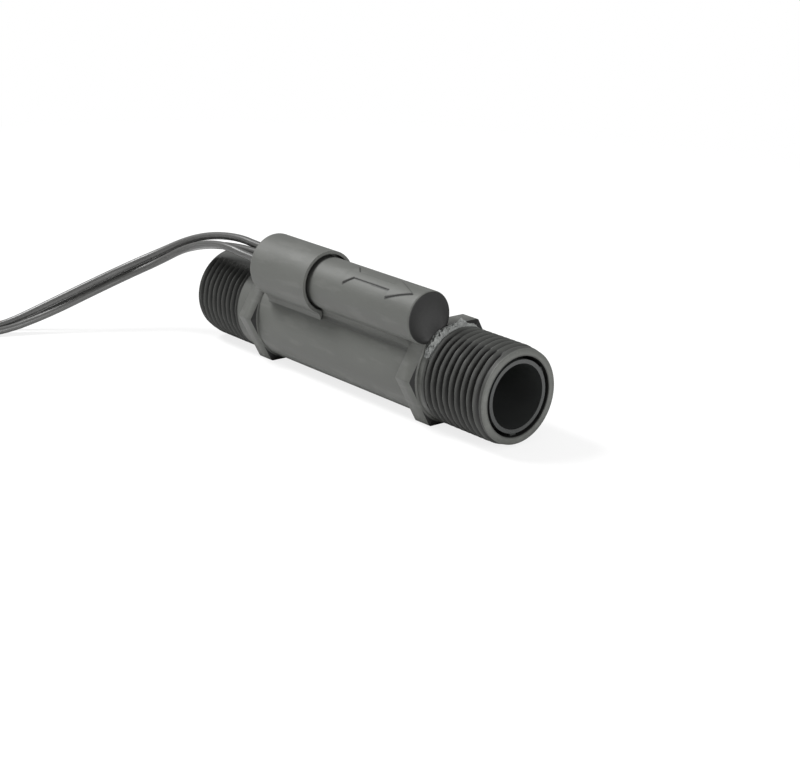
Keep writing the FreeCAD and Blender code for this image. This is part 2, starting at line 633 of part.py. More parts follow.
def make_spring():
    """Torsion spring round the pin: one leg on the seat, the other down the paddle."""
    turns = size(S["coil_turns"])
    pitch = size(S["coil_pitch"])
    mean = size(S["coil_radius"])
    wire_radius = size(S["wire_radius"])
    axis_x = size(pin_x)
    axis_z = size(S["pin_height"])
    length = turns * pitch
    coil = Part.makeHelix(pitch, length, mean)
    # the helix starts on top of the pin and turns towards the outlet
    coil.Placement = FreeCAD.Placement(
        FreeCAD.Vector(axis_x, -length / 2, axis_z),
        FreeCAD.Rotation(FreeCAD.Vector(0, 0, 1), FreeCAD.Vector(1, 0, 0), FreeCAD.Vector(0, 1, 0), "ZXY"))
    turn = coil.Edges[0]
    first = turn.valueAt(turn.FirstParameter)
    first_way = turn.tangentAt(turn.FirstParameter)
    foot = first - first_way * ((first.x - size(seat) - size(S["spring_gap"])) / first_way.x)
    turn = coil.Edges[-1]
    last = turn.valueAt(turn.LastParameter)
    tail = last + turn.tangentAt(turn.LastParameter) * size(S["spring_leg"])
    path = Part.Wire([Part.makeLine(foot, first)] + coil.Edges + [Part.makeLine(last, tail)])
    section = Part.Wire(Part.makeCircle(wire_radius, foot, first_way))
    solid = path.makePipeShell([section], True, True)
    spring = doc.addObject("Part::Feature", "return_spring")
    spring.Shape = solid
    return spring


def make_magnet():
    start = "(%s + {magnet_floor} - {paddle_thickness})".format(**S) % paddle_back
    return cylinder("magnet", start, S["magnet_length"], S["magnet_radius"], height=S["magnet_height"])


def make_plug():
    start = "(%s + %s - {plug_length})".format(**S) % (paddle_back, boss_length)
    return cylinder("magnet_plug", start, S["plug_length"], S["magnet_radius"], height=S["magnet_height"])


# --- reed switch ---

def blade(name, start, end, side, width, lift):
    """Flat reed blade; lift is the height of its middle plane above the glass axis."""
    return box(name, start, "(%s - %s / 2)" % (side, width),
               "({reed_height} + %s - {blade_thickness} / 2)".format(**S) % lift,
               "(%s - %s)" % (end, start), width, S["blade_thickness"])


def blade_set(suffix=""):
    middle = "({reed_start} + {glass_length} / 2)".format(**S)
    side = "({contact_spacing} / 2)".format(**S)
    lift = "({blade_thickness} + {contact_gap})".format(**S)
    contact_start = "({reed_start} - {blade_tail})".format(**S)
    contact_end = "(%s + {blade_overlap} / 2)".format(**S) % middle
    common_start = "(%s - {blade_overlap} / 2)".format(**S) % middle
    common_end = "(%s + {blade_tail})".format(**S) % glass_end
    return [
        blade("common_blade" + suffix, common_start, common_end, "0", S["common_width"], "0"),
        blade("open_contact" + suffix, contact_start, contact_end, side, S["contact_width"], lift),
        blade("closed_contact" + suffix, contact_start, contact_end, "(-%s)" % side, S["contact_width"],
              "(-%s)" % lift),
    ]


def capsule(name, shrink):
    radius = "({glass_radius} - %s)".format(**S) % shrink
    start = "({reed_start} + {glass_radius})".format(**S)
    length = "({glass_length} - 2 * {glass_radius})".format(**S)
    tube = cylinder(name + "_tube", start, length, radius, height=S["reed_height"])
    ends = []
    for label, place, turn in (("first", start, -90), ("last", "(%s + %s)" % (start, length), 90)):
        ball = doc.addObject("Part::Sphere", "%s_%s_end" % (name, label))
        ball.Placement.Rotation = FreeCAD.Rotation(FreeCAD.Vector(0, 1, 0), turn)
        bind(ball, Radius=radius, Angle1="0 deg", Placement__Base__x=place,
             Placement__Base__z=S["reed_height"])
        ends.append(ball)
    return fuse(name, tube, *ends)


def make_glass():
    hollow = cut("glass_shell", capsule("glass_outside", "0"), capsule("glass_inside", S["glass_wall"]))
    return cut("reed_glass", hollow, fuse("glass_seals", *blade_set("_seal")))


def make_holder():
    start = S["holder_start"]
    length = S["holder_length"]
    round_block = cylinder("holder_round", start, length, "({pod_bore} - {fit_gap})".format(**S),
                           height=S["pod_height"])
    half = box("holder_half", start, "(-{pod_bore})".format(**S), "0", length,
               "(2 * {pod_bore})".format(**S), S["holder_top"])
    groove = cylinder("holder_groove", "(%s - {overshoot})".format(**S) % start,
                      "(%s + 2 * {overshoot})".format(**S) % length,
                      "({glass_radius} + {fit_gap})".format(**S), height=S["reed_height"])
    slot = box("holder_slot", "(%s - {overshoot})".format(**S) % start,
               "(-{glass_radius} - {fit_gap})".format(**S),
               S["reed_height"], "(%s + 2 * {overshoot})".format(**S) % length,
               "(2 * ({glass_radius} + {fit_gap}))".format(**S),
               S["holder_top"])
    block = common("holder_block", round_block, half)
    return cut("reed_holder", block, fuse("holder_opening", groove, slot))


# --- circuit board, its pins and joints, the leads in the pod and the potting ---

def blade_joints():
    """Place along the pipe, side and lift of each blade's pin."""
    side = "({contact_spacing} / 2)".format(**S)
    lift = "({blade_thickness} + {contact_gap})".format(**S)
    near = "({reed_start} - {blade_tail} + {overshoot})".format(**S)
    far = "(%s + {blade_tail} - {overshoot})".format(**S) % glass_end
    return [
        ("common", far, "0", "0"),
        ("open", near, side, lift),
        ("closed", near, "(-%s)" % side, "(-%s)" % lift),
    ]


def upright(name, place, side, foot, top, radius):
    """Part cylinder standing up from a foot height to a top height."""
    thing = doc.addObject("Part::Cylinder", name)
    bind(thing, Radius=radius, Height="(%s - %s)" % (top, foot), Placement__Base__x=place,
         Placement__Base__y=side, Placement__Base__z=foot)
    return thing


def make_board_pins():
    pins = []
    for kind, place, side, lift in blade_joints():
        foot = "({reed_height} + %s + {blade_thickness} / 2)".format(**S) % lift
        top = "(%s + {board_pin_stand})".format(**S) % board_top
        pins.append(upright("pin_" + kind, place, side, foot, top, S["board_pin_radius"]))
    return group("board_pins", pins)


def make_board():
    blank = box("board_blank", S["board_start"], "(-{board_half_width})".format(**S), S["holder_top"],
                S["board_length"], "(2 * {board_half_width})".format(**S), S["board_thickness"])
    foot = "({holder_top} - {overshoot})".format(**S)
    top = "(%s + {overshoot})".format(**S) % board_top
    holes = [upright("board_hole_" + kind, place, side, foot, top, S["board_pin_radius"])
             for kind, place, side, lift in blade_joints()]
    return cut("circuit_board", blank, fuse("board_holes", *holes))


def lead_sides():
    return [("common", "0"), ("open", S["lead_pitch"]), ("closed", "(-{lead_pitch})".format(**S))]


def make_inner_leads():
    """The stretch of each lead between its solder joint and the face it leaves the pod by."""
    insulated_end = "({joint_place} - {joint_radius} - {bare_gap})".format(**S)
    leads = []
    for kind, side in lead_sides():
        sheath = cylinder("sheath_" + kind, S["cover_start"],
                          "(%s - {cover_start})".format(**S) % insulated_end,
                          "({lead_diameter} / 2)".format(**S), side, S["lead_height"])
        core = cylinder("core_" + kind, "(%s - {overshoot})".format(**S) % insulated_end,
                        "({lead_strip} + {overshoot})".format(**S),
                        "({conductor_diameter} / 2)".format(**S), side, S["lead_height"])
        leads.append(fuse("inner_lead_" + kind, sheath, core))
    return group("inner_leads", leads)


def make_joints():
    joints = []
    for kind, side in lead_sides():
        dome = upright("joint_dome_" + kind, S["joint_place"], side, board_top,
                       "(%s + {joint_height})".format(**S) % board_top, S["joint_radius"])
        hole = cylinder("joint_hole_" + kind, "({joint_place} - 2 * {overshoot})".format(**S),
                        "(4 * {overshoot})".format(**S),
                        "({conductor_diameter} / 2)".format(**S), side, S["lead_height"])
        joints.append(cut("joint_" + kind, dome, hole))
    return group("solder_joints", joints)


def make_potting():
    inside = cylinder("potting_inside", S["pod_start"], S["potting_length"], S["pod_bore"],
                      height=S["pod_height"])
    window = cylinder("potting_window", S["cover_start"], "({pod_start} - {cover_start})".format(**S),
                      S["lead_window"], height="({pod_height} + {lead_window_rise})".format(**S))
    first = "({cover_start} - {overshoot})".format(**S)
    length = "({potting_length} + 5 * {overshoot})".format(**S)
    holes = [cylinder("potting_hole_" + kind, first, length, "({lead_diameter} / 2)".format(**S),
                      side, S["lead_height"]) for kind, side in lead_sides()]
    return cut("potting", fuse("potting_blank", inside, window), fuse("potting_holes", *holes))


def group(name, members):
    """One node of several separate solids."""
    result = doc.addObject("Part::Compound", name)
    result.Links = members
    return result


# --- leads lying free, with the length that isn't in use wound into a coil ---

# the middle point of each step is the common lead, between the other two
# Where each lead ends in the coil: radius, angle round the coil in degrees, height above the floor
lead_ends = {
    "open": (11.01, -42.4, 10.87),
    "common": (9.12, -52.6, 12.83),
    "closed": (12.90, -144.0, 9.51),
}

lead_routes = {
    "open": [(11.5, -6.9, 16.1), (1.5, -7.3, 14.6), (-6.5, -8.9, 12.0), (-13.0, -12.3, 8.2),
             (-17.6, -17.8, 4.8), (-20.6, -26.0, 1.2), (-25.2, -36.0, -3.9), (-30.0, -46.5, -9.2),
             (-32.6, -56.0, -9.9), (-34.1, -65.4, -9.9)],
    "common": [(11.5, -8.4, 14.1), (1.5, -8.3, 12.4), (-7.2, -8.6, 9.8), (-14.2, -11.3, 6.2),
               (-19.2, -16.8, 3.2), (-22.4, -25.2, -0.6), (-27.0, -35.0, -5.6), (-32.4, -45.2, -9.9),
               (-35.2, -55.4, -9.9), (-36.0, -64.5, -9.9)],
    "closed": [(11.5, -10.55, 14.7), (2.0, -10.3, 13.0), (-6.0, -10.7, 10.0),
               (-12.4, -12.9, 6.0), (-17.3, -18.1, 2.4), (-20.3, -26.3, -1.3), (-24.6, -36.6, -6.4),
               (-27.8, -47.6, -9.9), (-30.8, -58.0, -9.9), (-32.3, -68.0, -9.9)],
}


def rounded_path(points):
    """Straight runs joined by tangent arcs, each as large as its two runs allow."""
    edges = []
    radii = []
    here = points[0]
    for before, corner, after in zip(points, points[1:], points[2:]):
        back = before - corner
        ahead = after - corner
        turn = math.pi - back.getAngle(ahead)
        reach = 0.45 * min(back.Length, ahead.Length)
        radius = reach / math.tan(turn / 2)
        back.normalize()
        ahead.normalize()
        middle = corner + (back + ahead).normalize() * (radius / math.cos(turn / 2) - radius)
        edges.append(Part.LineSegment(here, corner + back * reach).toShape())
        edges.append(Part.Arc(corner + back * reach, middle, corner + ahead * reach).toShape())
        here = corner + ahead * reach
        radii.append(radius)
    edges.append(Part.LineSegment(here, points[-1]).toShape())
    return Part.Wire(edges), radii


def tube_along(path, diameter):
    first = path.Edges[0]
    start = first.valueAt(first.FirstParameter)
    heading = first.tangentAt(first.FirstParameter)
    section = Part.Wire(Part.makeCircle(diameter / 2, start, heading))
    return path.makePipeShell([section], True, False, 2)


def make_free_lead(kind, side):
    diameter = size(S["lead_diameter"])
    tilt = FreeCAD.Rotation(FreeCAD.Vector(1, 0, 0), size(S["pod_tilt"]))
    leaving = tilt.multVec(FreeCAD.Vector(size(S["cover_start"]), size(side), size(S["lead_height"])))
    straight = leaving - FreeCAD.Vector(size(S["lead_straight"]), 0, 0)
    points = [leaving, straight] + [FreeCAD.Vector(*place) for place in lead_routes[kind]]
    path, radii = rounded_path(points)
    lead = doc.addObject("Part::Feature", kind + "_lead")
    lead.Shape = tube_along(path, diameter)
    expected = math.pi * diameter ** 2 / 4 * path.Length
    print("%s lead: %.1f mm, radii %s, volume %.3f of section times length" % (
        kind, path.Length, " ".join("%.0f" % radius for radius in radii), lead.Shape.Volume / expected))
    return lead


def make_coil():
    outside = doc.addObject("Part::Cylinder", "coil_outside_wall")
    bind(outside, Radius=S["coil_outside"], Height=S["coil_height"], Placement__Base__x=S["coil_centre_x"],
         Placement__Base__y=S["coil_centre_y"], Placement__Base__z=floor_z)
    inside = doc.addObject("Part::Cylinder", "coil_inside_wall")
    bind(inside, Radius=S["coil_inside"], Height="({coil_height} + 2 * {overshoot})".format(**S),
         Placement__Base__x=S["coil_centre_x"], Placement__Base__y=S["coil_centre_y"],
         Placement__Base__z="(%s - {overshoot})".format(**S) % floor_z)
    return cut("lead_coil", cut("coil_ring", outside, inside), make_tie("tie_in_coil"))


def make_tie(name):
    """Band round the section of the coil, on the side away from the switch."""
    thickness = S["tie_thickness"]
    side = "({coil_centre_y} - {tie_width} / 2)".format(**S)
    radial = "({coil_outside} - {coil_inside})".format(**S)
    outer = box(name + "_outer", "({coil_centre_x} - {coil_outside} - {tie_thickness})".format(**S),
                side, floor_z, "(%s + 2 * %s)" % (radial, thickness), S["tie_width"],
                "({coil_height} + {tie_thickness})".format(**S))
    inner = box(name + "_inner", "({coil_centre_x} - {coil_outside})".format(**S),
                "(%s - {overshoot})".format(**S) % side, "(%s + %s)" % (floor_z, thickness), radial,
                "({tie_width} + 2 * {overshoot})".format(**S),
                "({coil_height} - {tie_thickness})".format(**S))
    return cut(name, outer, inner)


def make_stripped_ends():
    """Bare conductor at the end of each lead, along the turn that it ends."""
    ends = []
    for radius, turned_by, height in lead_ends.values():
        angle = math.radians(turned_by)
        start = FreeCAD.Vector(size(S["coil_centre_x"]) + radius * math.cos(angle),
                               size(S["coil_centre_y"]) + radius * math.sin(angle),
                               size(floor_z) + height)
        heading = FreeCAD.Vector(math.sin(angle), -math.cos(angle), 0)
        ends.append(Part.makeCylinder(size(S["conductor_diameter"]) / 2, size(S["strip_length"]),
                                      start, heading))
    result = doc.addObject("Part::Feature", "stripped_ends")
    result.Shape = Part.makeCompound(ends)
    return result


tilted = [make_housing(), make_cover(), make_sleeve(), make_carrier(), make_pin(), make_paddle(),
          make_spring(), make_magnet(), make_plug(), make_glass(), *blade_set(), make_holder(),
          make_board(), make_board_pins(), make_joints(), make_inner_leads(), make_potting()]
level = [make_free_lead(kind, side) for kind, side in lead_sides()]
level += [make_coil(), make_tie("coil_tie"), make_stripped_ends()]


def node(piece, around_pipe):
    """Sub-part under its own label; a primitive in place is wrapped before it is turned."""
    if not around_pipe:
        return piece
    if piece.TypeId in ("Part::Cylinder", "Part::Box"):
        label = piece.Label
        piece.Label = label + "_blank"
        piece = group(label + "_piece", [piece])
        piece.Label = label
    return turned(piece)


nodes = [node(piece, True) for piece in tilted] + [node(piece, False) for piece in level]
doc.recompute()

for item in doc.Objects:
    if "Invalid" in item.State or "Error" in item.State:
        raise RuntimeError("%s did not build: %s" % (item.Label, item.State))
os.makedirs("parts", exist_ok=True)
for piece in nodes:
    shape = piece.Shape
    if shape.isNull() or not shape.isValid():
        raise RuntimeError(piece.Label + " has no valid shape")
    shape.exportStep(os.path.join("parts", piece.Label + ".step"))
    print("%-18s %2d solids %10.2f mm3" % (piece.Label, len(shape.Solids), shape.Volume))
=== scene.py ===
import json
import math

import bpy
import numpy as np
from mathutils import Matrix, Vector


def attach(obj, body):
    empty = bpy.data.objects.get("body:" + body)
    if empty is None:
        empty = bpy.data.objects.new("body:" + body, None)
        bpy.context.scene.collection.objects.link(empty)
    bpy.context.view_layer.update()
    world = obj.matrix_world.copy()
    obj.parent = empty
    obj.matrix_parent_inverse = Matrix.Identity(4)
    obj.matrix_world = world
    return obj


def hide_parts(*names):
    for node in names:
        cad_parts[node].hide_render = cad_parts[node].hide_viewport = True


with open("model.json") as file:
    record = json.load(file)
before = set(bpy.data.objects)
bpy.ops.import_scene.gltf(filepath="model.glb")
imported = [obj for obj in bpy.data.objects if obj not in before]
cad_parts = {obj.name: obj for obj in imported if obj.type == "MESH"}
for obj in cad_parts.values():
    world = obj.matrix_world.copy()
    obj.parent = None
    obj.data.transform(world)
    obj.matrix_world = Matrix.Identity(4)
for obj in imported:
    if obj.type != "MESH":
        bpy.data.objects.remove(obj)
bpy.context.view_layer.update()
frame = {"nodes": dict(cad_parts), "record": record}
nodes = frame["nodes"]
mm = 0.001
print("frame loaded,", len(nodes), "nodes")

# camera

cameraValues = {
    "place": (353.34, -253.21, 119.19),  # mm
    "right": (0.64784, 0.76101, 0.03412),
    "up": (-0.25784, 0.17691, 0.94985),
    "lens": 83.405,
    "sensor": 36.0,
}


def makeCamera(values):
    right = Vector(values["right"]).normalized()
    up = Vector(values["up"])
    up = (up - right * up.dot(right)).normalized()
    back = right.cross(up)
    turn = Matrix((right, up, back)).transposed().to_4x4()
    data = bpy.data.cameras.new("camera")
    data.lens = values["lens"]
    data.sensor_width = values["sensor"]
    camera = bpy.data.objects.new("camera", data)
    camera.matrix_world = Matrix.Translation(Vector(values["place"]) * mm) @ turn
    bpy.context.scene.collection.objects.link(camera)
    bpy.context.scene.camera = camera


makeCamera(cameraValues)
print("camera placed")

# leads

leadValues = {
    "diameter": 1.8,
    "length": 457.0,
    "straight": 7.0,  # first run out of the pod
    "coilCentre": (-45.0, -72.0),
    "floorTurn": -9.9,  # middle of a lead lying on the floor
    "pitch": 1.9,  # rise of one turn
    "lift": 0.25,  # the first turn climbs over the leads coming in
    "liftTurns": 0.8,
    "pointsPerTurn": 16,
    "order": 3,
    "lengthSteps": 10,
    "roundSteps": 4,
}

leadRoutes = {
    "open": {
        "exit": (26.4, -6.855, 15.672), "column": 10.8, "turns": 5.118,
        "route": [(11.5, -6.9, 16.1), (1.5, -7.3, 14.6), (-6.5, -8.9, 12.0), (-13.0, -12.3, 8.2),
                  (-17.6, -17.8, 4.8), (-20.6, -26.0, 1.2), (-25.2, -36.0, -3.9), (-30.0, -46.5, -9.2),
                  (-32.6, -56.0, -9.9), (-34.1, -65.4, -9.9)],
    },
    "common": {
        "exit": (26.4, -8.5, 14.722), "column": 8.95, "turns": 6.146,
        "route": [(11.5, -8.4, 14.1), (1.5, -8.3, 12.4), (-7.2, -8.6, 9.8), (-14.2, -11.3, 6.2),
                  (-19.2, -16.8, 3.2), (-22.4, -25.2, -0.6), (-27.0, -35.0, -5.6), (-32.4, -45.2, -9.9),
                  (-35.2, -55.4, -9.9), (-36.0, -64.5, -9.9)],
    },
    "closed": {
        "exit": (26.4, -10.145, 13.772), "column": 12.65, "turns": 4.400,
        "route": [(11.5, -10.55, 14.7), (2.0, -10.3, 13.0), (-6.0, -10.7, 10.0), (-12.4, -12.9, 6.0),
                  (-17.3, -18.1, 2.4), (-20.3, -26.3, -1.3), (-24.6, -36.6, -6.4), (-27.8, -47.6, -9.9),
                  (-30.8, -58.0, -9.9), (-32.3, -68.0, -9.9)],
    },
}


def coilPoints(lead, values):
    # points of a rising ring, set outside the wanted radius because the spline cuts inside them
    perTurn = values["pointsPerTurn"]
    radius = lead["column"] / (0.75 + 0.25 * math.cos(2 * math.pi / perTurn))
    turn = np.minimum(np.arange(math.ceil(lead["turns"] * perTurn) + 1) / perTurn, lead["turns"])
    angle = -2 * math.pi * turn
    climb = np.minimum(turn / values["liftTurns"], 1.0)
    lift = values["lift"] * climb * climb * (3 - 2 * climb)
    x = values["coilCentre"][0] + radius * np.cos(angle)
    y = values["coilCentre"][1] + radius * np.sin(angle)
    return np.stack([x, y, values["floorTurn"] + values["pitch"] * turn + lift], 1)


def makeLead(kind, values):
    lead = leadRoutes[kind]
    leaving = np.array(lead["exit"])
    straight = leaving - np.array([values["straight"], 0.0, 0.0])
    points = np.vstack([leaving, straight, lead["route"], coilPoints(lead, values)]) * mm
    curve = bpy.data.curves.new(kind + "LeadCurve", "CURVE")
    curve.dimensions = "3D"
    curve.resolution_u = values["lengthSteps"]
    curve.bevel_depth = 1.0  # the points' radius carries the thickness, because a curve's box counts it
    curve.bevel_resolution = values["roundSteps"]
    curve.use_fill_caps = True
    spline = curve.splines.new("NURBS")
    spline.points.add(len(points) - 1)
    spline.points.foreach_set("co", np.hstack([points, np.ones((len(points), 1))]).ravel())
    spline.points.foreach_set("radius", np.full(len(points), values["diameter"] * mm / 2))
    spline.order_u = values["order"]
    spline.use_endpoint_u = True
    piece = bpy.data.objects.new(kind + "Lead", curve)
    bpy.context.scene.collection.objects.link(piece)
    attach(piece, "switch_body")
    return piece


leads = {kind: makeLead(kind, leadValues) for kind in leadRoutes}
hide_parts("open_lead", "lead_coil")
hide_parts("common_lead")
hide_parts("closed_lead")
print("leads laid")

# materials


class Value:
    # wraps a number socket, so that sums and products of it add their own Math nodes
    def __init__(self, shop, socket):
        self.shop = shop
        self.socket = socket

    def above(self, edge, width):
        # 0 below the edge, 1 above it, straight between
        ends = {"Value": self, "From Min": edge - width, "From Max": edge + width}
        return Value(self.shop, self.shop.node("ShaderNodeMapRange", {}, ends).outputs[0])

    def maths(self, operation, first, second):
        made = self.shop.node("ShaderNodeMath", {"operation": operation}, {0: first, 1: second})
        return Value(self.shop, made.outputs[0])

    def __add__(self, other):
        return self.maths("ADD", self, other)

    def __mul__(self, other):
        return self.maths("MULTIPLY", self, other)

    def __sub__(self, other):
        return self.maths("SUBTRACT", self, other)

    def __rsub__(self, other):
        return self.maths("SUBTRACT", other, self)

    def power(self, other):
        return self.maths("POWER", self, other)

    def atLeast(self, other):
        return self.maths("MAXIMUM", self, other)

    def atMost(self, other):
        return self.maths("MINIMUM", self, other)

    __radd__ = __add__
    __rmul__ = __mul__


class Shop:
    # makes the nodes of one material
    def __init__(self, name):
        self.material = bpy.data.materials.new(name)
        self.material.use_nodes = True
        self.tree = self.material.node_tree
        self.surface = self.tree.nodes["Principled BSDF"]
        self.place = self.node("ShaderNodeTexCoord", {}, {}).outputs["Object"]

    def node(self, kind, settings, inputs):
        made = self.tree.nodes.new(kind)
        for name, value in settings.items():
            setattr(made, name, value)
        self.feed(made, inputs)
        return made

    def feed(self, made, inputs):
        for name, value in inputs.items():
            if isinstance(value, Value):
                value = value.socket
            if isinstance(value, bpy.types.NodeSocket):
                self.tree.links.new(value, made.inputs[name])
            else:
                made.inputs[name].default_value = value

    def noise(self, scale, detail=3.0, stretch=(1.0, 1.0, 1.0)):
        where = self.node("ShaderNodeMapping", {}, {"Vector": self.place, "Scale": stretch})
        made = self.node("ShaderNodeTexNoise", {}, {"Vector": where.outputs[0], "Scale": scale,
                                                    "Detail": detail})
        return Value(self, made.outputs["Fac"])

    def axes(self):
        parts = self.node("ShaderNodeSeparateXYZ", {}, {0: self.place}).outputs
        return [Value(self, parts[name]) for name in ("X", "Y", "Z")]

    def blend(self, share, first, second):
        made = self.node("ShaderNodeMix", {"data_type": "RGBA"}, {0: share, 6: first, 7: second})
        return made.outputs[2]

    def bump(self, height, strength, distance):
        return self.node("ShaderNodeBump", {}, {"Height": height, "Strength": strength,
                                                "Distance": distance}).outputs[0]


finishes = {
    "moulded_plastic": {"dark": (0.062, 0.064, 0.059), "light": (0.089, 0.0915, 0.085), "roughness": 0.56,
                        "grain": 2600, "cloud": 90, "bump": 0.45, "depth": 0.00006, "stretch": (0.45, 1, 1),
                        "moulded": True, "specular": 0.3},
    "flash_plastic": {"dark": (0.02, 0.021, 0.022), "light": (0.26, 0.27, 0.26), "roughness": 0.5,
                      "grain": 1300, "cloud": 650, "bump": 0.4, "depth": 0.0001, "stretch": (1, 1, 1)},
    "sleeve_plastic": {"dark": (0.012, 0.013, 0.013), "light": (0.028, 0.030, 0.029), "roughness": 0.45,
                       "grain": 2600, "cloud": 120, "bump": 0.12, "depth": 0.00002, "stretch": (1, 1, 1)},
    "paddle_plastic": {"dark": (0.06, 0.06, 0.058), "light": (0.09, 0.09, 0.087), "roughness": 0.48,
                       "grain": 2400, "cloud": 150, "bump": 0.12, "depth": 0.00002, "stretch": (1, 1, 1)},
    "stainless": {"dark": (0.50, 0.50, 0.48), "light": (0.68, 0.68, 0.66), "roughness": 0.28,
                  "metallic": 1.0, "grain": 5000, "cloud": 300, "bump": 0.10, "depth": 0.00001,
                  "stretch": (1, 8, 1)},
    "magnet": {"dark": (0.07, 0.07, 0.075), "light": (0.12, 0.12, 0.13), "roughness": 0.5, "metallic": 0.5,
               "grain": 4000, "cloud": 300, "bump": 0.2, "depth": 0.00001, "stretch": (1, 1, 1)},
    "contact_metal": {"dark": (0.55, 0.50, 0.38), "light": (0.74, 0.69, 0.55), "roughness": 0.3,
                      "metallic": 1.0, "grain": 5000, "cloud": 400, "bump": 0.08, "depth": 0.00001,
                      "stretch": (0.2, 1, 1)},
    "board": {"dark": (0.02, 0.09, 0.035), "light": (0.035, 0.14, 0.055), "roughness": 0.35, "grain": 1800,
              "cloud": 200, "bump": 0.1, "depth": 0.00001, "stretch": (1, 1, 1)},
    "tinned": {"dark": (0.58, 0.58, 0.56), "light": (0.75, 0.75, 0.73), "roughness": 0.26, "metallic": 1.0,
               "grain": 4500, "cloud": 500, "bump": 0.14, "depth": 0.00001, "stretch": (1, 1, 1)},
    "potting": {"dark": (0.018, 0.018, 0.018), "light": (0.035, 0.035, 0.034), "roughness": 0.3,
                "grain": 900, "cloud": 200, "bump": 0.12, "depth": 0.00003, "stretch": (1, 1, 1)},
    "lead_insulation": {"dark": (0.035, 0.035, 0.034), "light": (0.06, 0.06, 0.058), "roughness": 0.38,
                        "grain": 1500, "cloud": 160, "bump": 0.08, "depth": 0.00002, "stretch": (1, 1, 1)},
    "tie_plastic": {"dark": (0.025, 0.025, 0.025), "light": (0.045, 0.045, 0.045), "roughness": 0.45,
                    "grain": 2200, "cloud": 200, "bump": 0.1, "depth": 0.00002, "stretch": (1, 1, 1)},
}

zoneValues = {
    "inletThread": 16.2,  # mm along the pipe
    "outletThread": 81.2,
    "endFace": 99.2,
    "endSoft": 0.1,
    "bore": 8.9,  # radius inside which painted shade darkens the bore
    "boreSoft": 0.15,
    "root": 9.7,  # radius of full painted shade in the grooves
    "crest": 10.5,  # radius of no groove shade
    "threadShade": 0.50,  # colour kept on the crests; the whole thread zone is darker
    "grooveShade": 0.07,  # colour kept in the grooves, painted shade
    "hexEnds": (24.2, 79.8),  # outlet side of each hexagon, whose corners carry painted shade
    "hexShade": 0.04,
    "hexFrom": 10.95,  # radius from which the corners of those sides are darkened by painted shade
    "hexSoft": 0.06,
    "hexReach": 0.1,  # along the pipe, to both sides of the face
    "hexEdge": 0.05,
    "boreShade": 0.45,
    "soft": 0.2,
}

flowMarks = {
    "scale": 60.0,
    "detail": 5.0,
    "stretch": (0.5, 1.4, 1.4),
    "strength": 0.34,
    "height": 0.9,  # share of the marks in the bump, beside the grain's
    "grainHeight": 0.7,
    "scuff": 300.0,
    "scuffDetail": 4.0,
    "scuffStretch": (0.4, 1.5, 1.5),
    "scuffEdge": 0.60,
    "scuffSoft": 0.05,
    "scuffLight": 0.05,
    "scuffColour": (0.30, 0.30, 0.29, 1),
    "shadeAndMarkBlack": (0.004, 0.004, 0.004, 1),  # colour where none is kept, under the painted shade and the flow marks
}

grainValues = {"cloudDetail": 4.0, "grainDetail": 2.0, "cloudShare": 0.65, "roughSpread": 0.12}


def zoneShade(shop, values):
    # share of the colour that is kept: less on the threads, still less as painted shade in their grooves,
    # in the bore and on the hexagons' outlet-side corners
    x, y, z = shop.axes()
    soft = values["soft"] * mm
    threads = x.above(values["outletThread"] * mm, soft) + (1 - x.above(values["inletThread"] * mm, soft))
    threads = threads * (1 - x.above(values["endFace"] * mm, values["endSoft"] * mm))
    radius = (y * y + z * z).power(0.5)
    # painted shade in the thread grooves, by radius
    middle = (values["root"] + values["crest"]) / 2
    crest = radius.above(middle * mm, (values["crest"] - middle) * mm)
    onThread = values["grooveShade"] + (values["threadShade"] - values["grooveShade"]) * crest
    # painted shade in the bore
    outside = radius.above(values["bore"] * mm, values["boreSoft"] * mm)
    shade = (1 - threads * (1 - onThread)) * (values["boreShade"] + (1 - values["boreShade"]) * outside)
    # painted shade on the outlet-side corners of the hexagons
    beyond = radius.above(values["hexFrom"] * mm, values["hexSoft"] * mm)
    reach, edge = values["hexReach"], values["hexEdge"] * mm
    for place in values["hexEnds"]:
        face = x.above((place - reach) * mm, edge) - x.above((place + reach) * mm, edge)
        shade = shade * (1 - (1 - values["hexShade"]) * face * beyond)
    return shade


arrowShadeLines = {
    # painted shade along the foot of the raised arrow: start, end, half width; mm along the pipe and across
    # the pod
    "tail": ((57.2, -2.75), (59.5, -0.95), 0.24),
    "shaft": ((59.5, -0.95), (71.2, -0.95), 0.15),
    "neck": ((65.5, -1.0), (71.0, -1.0), 0.24),
    "head": ((71.2, -2.75), (77.6, -0.05), 0.24),
    "farTail": ((57.2, 2.75), (59.5, 0.95), 0.10),
    "farShaft": ((59.5, 0.95), (71.2, 0.95), 0.08),
    "farHead": ((71.2, 2.75), (77.6, 0.05), 0.10),
}

arrowFade = {"strength": 0.72, "soft": 0.12, "upSoft": 0.5}

podValues = {"tilt": 30.0, "height": 15.2, "tube": 5.8, "arrow": 6.1}

coverShadowValues = {
    "from": 45.0,  # mm along the pipe
    "to": 46.9,
    "radius": 6.45,  # round the pod's axis, painted shadow inside it
    "kept": 0.3,
    "soft": 0.12,
    "fade": 0.35,
}


def podAxis(pod):
    # y and z of the pod's axis, mm
    tilt = math.radians(pod["tilt"])
    return -pod["height"] * math.sin(tilt), pod["height"] * math.cos(tilt)


def coverShade(shop, values, pod):
    # painted shadow: share of the colour kept at the cover's open end and on the tube just beyond it
    x, y, z = shop.axes()
    podY, podZ = podAxis(pod)
    offY, offZ = y - podY * mm, z - podZ * mm
    inside = 1 - (offY * offY + offZ * offZ).power(0.5).above(values["radius"] * mm, values["soft"] * mm)
    begun = x.above(values["from"] * mm, values["soft"] * mm)
    ended = x.above(values["to"] * mm, values["fade"] * mm)
    return 1 - (1 - values["kept"]) * inside * begun * (1 - ended)


